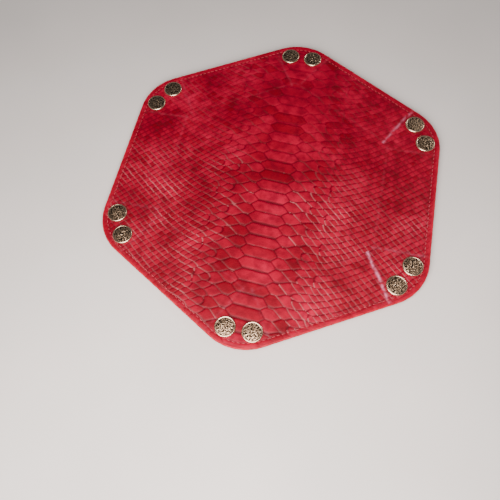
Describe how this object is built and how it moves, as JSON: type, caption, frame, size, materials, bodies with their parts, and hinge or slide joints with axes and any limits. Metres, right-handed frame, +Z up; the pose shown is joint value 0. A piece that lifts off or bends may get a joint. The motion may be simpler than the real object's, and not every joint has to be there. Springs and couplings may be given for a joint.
{
  "type": "folding dice tray",
  "caption": "Folding hexagonal dice tray: embossed leather sheet lined with velvet, its walls raised by pinching and snapping each corner.",
  "frame": {"origin": "centre of the tray's footprint on the surface it lies on, lying flat and unfolded with its cover up", "axes": "+Z up through the cover, +Y towards the corner between walls 1 and 2, +X towards the middle of wall 6"},
  "size_m": [0.244, 0.27, 0.0068],
  "materials": {
    "cover_leather": "reptile-embossed, satin",
    "lining_velvet": "short pile",
    "edge_binding": "matte",
    "stitching_thread": "twisted thread",
    "snap_bronze": "antiqued, textured",
    "snap_steel": "nickel plated"
  },
  "bodies": {
    "root": {"base_cover": "cover_leather", "base_lining": "lining_velvet"},
    "wall_1": {"wall_1_cover": "cover_leather", "wall_1_lining": "lining_velvet"},
    "wall_2": {"wall_2_cover": "cover_leather", "wall_2_lining": "lining_velvet"},
    "wall_3": {"wall_3_cover": "cover_leather", "wall_3_lining": "lining_velvet"},
    "wall_4": {"wall_4_cover": "cover_leather", "wall_4_lining": "lining_velvet"},
    "wall_5": {"wall_5_cover": "cover_leather", "wall_5_lining": "lining_velvet"},
    "wall_6": {"wall_6_cover": "cover_leather", "wall_6_lining": "lining_velvet"},
    "corner_1_tab_a": {"corner_1_tab_a": "cover_leather", "corner_1_cap_a": "snap_bronze", "corner_1_socket": "snap_steel"},
    "corner_1_tab_b": {"corner_1_tab_b": "cover_leather", "corner_1_cap_b": "snap_bronze", "corner_1_stud": "snap_steel"},
    "corner_1_fold": {"corner_1_fold": "cover_leather"},
    "corner_2_tab_a": {"corner_2_tab_a": "cover_leather", "corner_2_cap_a": "snap_bronze", "corner_2_socket": "snap_steel"},
    "corner_2_tab_b": {"corner_2_tab_b": "cover_leather", "corner_2_cap_b": "snap_bronze", "corner_2_stud": "snap_steel"},
    "corner_2_fold": {"corner_2_fold": "cover_leather"},
    "corner_3_tab_a": {"corner_3_tab_a": "cover_leather", "corner_3_cap_a": "snap_bronze", "corner_3_socket": "snap_steel"},
    "corner_3_tab_b": {"corner_3_tab_b": "cover_leather", "corner_3_cap_b": "snap_bronze", "corner_3_stud": "snap_steel"},
    "corner_3_fold": {"corner_3_fold": "cover_leather"},
    "corner_4_tab_a": {"corner_4_tab_a": "cover_leather", "corner_4_cap_a": "snap_bronze", "corner_4_socket": "snap_steel"},
    "corner_4_tab_b": {"corner_4_tab_b": "cover_leather", "corner_4_cap_b": "snap_bronze", "corner_4_stud": "snap_steel"},
    "corner_4_fold": {"corner_4_fold": "cover_leather"},
    "corner_5_tab_a": {"corner_5_tab_a": "cover_leather", "corner_5_cap_a": "snap_bronze", "corner_5_socket": "snap_steel"},
    "corner_5_tab_b": {"corner_5_tab_b": "cover_leather", "corner_5_cap_b": "snap_bronze", "corner_5_stud": "snap_steel"},
    "corner_5_fold": {"corner_5_fold": "cover_leather"},
    "corner_6_tab_a": {"corner_6_tab_a": "cover_leather", "corner_6_cap_a": "snap_bronze", "corner_6_socket": "snap_steel"},
    "corner_6_tab_b": {"corner_6_tab_b": "cover_leather", "corner_6_cap_b": "snap_bronze", "corner_6_stud": "snap_steel"},
    "corner_6_fold": {"corner_6_fold": "cover_leather"}
  },
  "joints": [
    {"name": "wall_1_fold", "type": "hinge", "parent": "root", "child": "wall_1", "pos_m": [0.041, 0.07101, 0.003], "axis": [-0.866, 0.5, 0], "range_deg": [0, 90]},
    {"name": "wall_2_fold", "type": "hinge", "parent": "root", "child": "wall_2", "pos_m": [-0.041, 0.07101, 0.003], "axis": [-0.866, -0.5, 0], "range_deg": [0, 90]},
    {"name": "wall_3_fold", "type": "hinge", "parent": "root", "child": "wall_3", "pos_m": [-0.082, 0, 0.003], "axis": [0, -1, 0], "range_deg": [0, 90]},
    {"name": "wall_4_fold", "type": "hinge", "parent": "root", "child": "wall_4", "pos_m": [-0.041, -0.07101, 0.003], "axis": [0.866, -0.5, 0], "range_deg": [0, 90]},
    {"name": "wall_5_fold", "type": "hinge", "parent": "root", "child": "wall_5", "pos_m": [0.041, -0.07101, 0.003], "axis": [0.866, 0.5, 0], "range_deg": [0, 90]},
    {"name": "wall_6_fold", "type": "hinge", "parent": "root", "child": "wall_6", "pos_m": [0.082, 0, 0.003], "axis": [0, 1, 0], "range_deg": [0, 90]},
    {"name": "corner_1_tab_a_crease", "type": "hinge", "parent": "wall_1", "child": "corner_1_tab_a", "pos_m": [0.00345, 0.09269, 0.0052], "axis": [0.5, 0.866, 0], "range_deg": [0, 60]},
    {"name": "corner_1_tab_b_crease", "type": "hinge", "parent": "wall_2", "child": "corner_1_tab_b", "pos_m": [-0.00345, 0.09269, 0.0052], "axis": [0.5, -0.866, 0], "range_deg": [0, 60]},
    {"name": "corner_1_pleat_fold", "type": "hinge", "parent": "corner_1_tab_a", "child": "corner_1_fold", "pos_m": [0, 0.09469, 0.00065], "axis": [0, -1, 0], "range_deg": [0, 179.99]},
    {"name": "corner_2_tab_a_crease", "type": "hinge", "parent": "wall_2", "child": "corner_2_tab_a", "pos_m": [-0.07855, 0.04933, 0.0052], "axis": [-0.5, 0.866, 0], "range_deg": [0, 60]},
    {"name": "corner_2_tab_b_crease", "type": "hinge", "parent": "wall_3", "child": "corner_2_tab_b", "pos_m": [-0.082, 0.04336, 0.0052], "axis": [1, 0, 0], "range_deg": [0, 60]},
    {"name": "corner_2_pleat_fold", "type": "hinge", "parent": "corner_2_tab_a", "child": "corner_2_fold", "pos_m": [-0.082, 0.04734, 0.00065], "axis": [0.866, -0.5, 0], "range_deg": [0, 179.99]},
    {"name": "corner_3_tab_a_crease", "type": "hinge", "parent": "wall_3", "child": "corner_3_tab_a", "pos_m": [-0.082, -0.04336, 0.0052], "axis": [-1, 0, 0], "range_deg": [0, 60]},
    {"name": "corner_3_tab_b_crease", "type": "hinge", "parent": "wall_4", "child": "corner_3_tab_b", "pos_m": [-0.07855, -0.04933, 0.0052], "axis": [0.5, 0.866, 0], "range_deg": [0, 60]},
    {"name": "corner_3_pleat_fold", "type": "hinge", "parent": "corner_3_tab_a", "child": "corner_3_fold", "pos_m": [-0.082, -0.04734, 0.00065], "axis": [0.866, 0.5, 0], "range_deg": [0, 179.99]},
    {"name": "corner_4_tab_a_crease", "type": "hinge", "parent": "wall_4", "child": "corner_4_tab_a", "pos_m": [-0.00345, -0.09269, 0.0052], "axis": [-0.5, -0.866, 0], "range_deg": [0, 60]},
    {"name": "corner_4_tab_b_crease", "type": "hinge", "parent": "wall_5", "child": "corner_4_tab_b", "pos_m": [0.00345, -0.09269, 0.0052], "axis": [-0.5, 0.866, 0], "range_deg": [0, 60]},
    {"name": "corner_4_pleat_fold", "type": "hinge", "parent": "corner_4_tab_a", "child": "corner_4_fold", "pos_m": [0, -0.09469, 0.00065], "axis": [0, 1, 0], "range_deg": [0, 179.99]},
    {"name": "corner_5_tab_a_crease", "type": "hinge", "parent": "wall_5", "child": "corner_5_tab_a", "pos_m": [0.07855, -0.04933, 0.0052], "axis": [0.5, -0.866, 0], "range_deg": [0, 60]},
    {"name": "corner_5_tab_b_crease", "type": "hinge", "parent": "wall_6", "child": "corner_5_tab_b", "pos_m": [0.082, -0.04336, 0.0052], "axis": [-1, 0, 0], "range_deg": [0, 60]},
    {"name": "corner_5_pleat_fold", "type": "hinge", "parent": "corner_5_tab_a", "child": "corner_5_fold", "pos_m": [0.082, -0.04734, 0.00065], "axis": [-0.866, 0.5, 0], "range_deg": [0, 179.99]},
    {"name": "corner_6_tab_a_crease", "type": "hinge", "parent": "wall_6", "child": "corner_6_tab_a", "pos_m": [0.082, 0.04336, 0.0052], "axis": [1, 0, 0], "range_deg": [0, 60]},
    {"name": "corner_6_tab_b_crease", "type": "hinge", "parent": "wall_1", "child": "corner_6_tab_b", "pos_m": [0.07855, 0.04933, 0.0052], "axis": [-0.5, -0.866, 0], "range_deg": [0, 60]},
    {"name": "corner_6_pleat_fold", "type": "hinge", "parent": "corner_6_tab_a", "child": "corner_6_fold", "pos_m": [0.082, 0.04734, 0.00065], "axis": [-0.866, -0.5, 0], "range_deg": [0, 179.99]}
  ],
  "couplings": [
    {"joint": "wall_2_fold", "follows": "wall_1_fold", "ratio": 1},
    {"joint": "wall_3_fold", "follows": "wall_1_fold", "ratio": 1},
    {"joint": "wall_4_fold", "follows": "wall_1_fold", "ratio": 1},
    {"joint": "wall_5_fold", "follows": "wall_1_fold", "ratio": 1},
    {"joint": "wall_6_fold", "follows": "wall_1_fold", "ratio": 1},
    {"joint": "corner_1_tab_a_crease", "follows": "wall_1_fold", "ratio": 0.66667},
    {"joint": "corner_1_tab_b_crease", "follows": "wall_1_fold", "ratio": 0.66667},
    {"joint": "corner_1_pleat_fold", "follows": "wall_1_fold", "ratio": 1.9999},
    {"joint": "corner_2_tab_a_crease", "follows": "wall_1_fold", "ratio": 0.66667},
    {"joint": "corner_2_tab_b_crease", "follows": "wall_1_fold", "ratio": 0.66667},
    {"joint": "corner_2_pleat_fold", "follows": "wall_1_fold", "ratio": 1.9999},
    {"joint": "corner_3_tab_a_crease", "follows": "wall_1_fold", "ratio": 0.66667},
    {"joint": "corner_3_tab_b_crease", "follows": "wall_1_fold", "ratio": 0.66667},
    {"joint": "corner_3_pleat_fold", "follows": "wall_1_fold", "ratio": 1.9999},
    {"joint": "corner_4_tab_a_crease", "follows": "wall_1_fold", "ratio": 0.66667},
    {"joint": "corner_4_tab_b_crease", "follows": "wall_1_fold", "ratio": 0.66667},
    {"joint": "corner_4_pleat_fold", "follows": "wall_1_fold", "ratio": 1.9999},
    {"joint": "corner_5_tab_a_crease", "follows": "wall_1_fold", "ratio": 0.66667},
    {"joint": "corner_5_tab_b_crease", "follows": "wall_1_fold", "ratio": 0.66667},
    {"joint": "corner_5_pleat_fold", "follows": "wall_1_fold", "ratio": 1.9999},
    {"joint": "corner_6_tab_a_crease", "follows": "wall_1_fold", "ratio": 0.66667},
    {"joint": "corner_6_tab_b_crease", "follows": "wall_1_fold", "ratio": 0.66667},
    {"joint": "corner_6_pleat_fold", "follows": "wall_1_fold", "ratio": 1.9999}
  ]
}
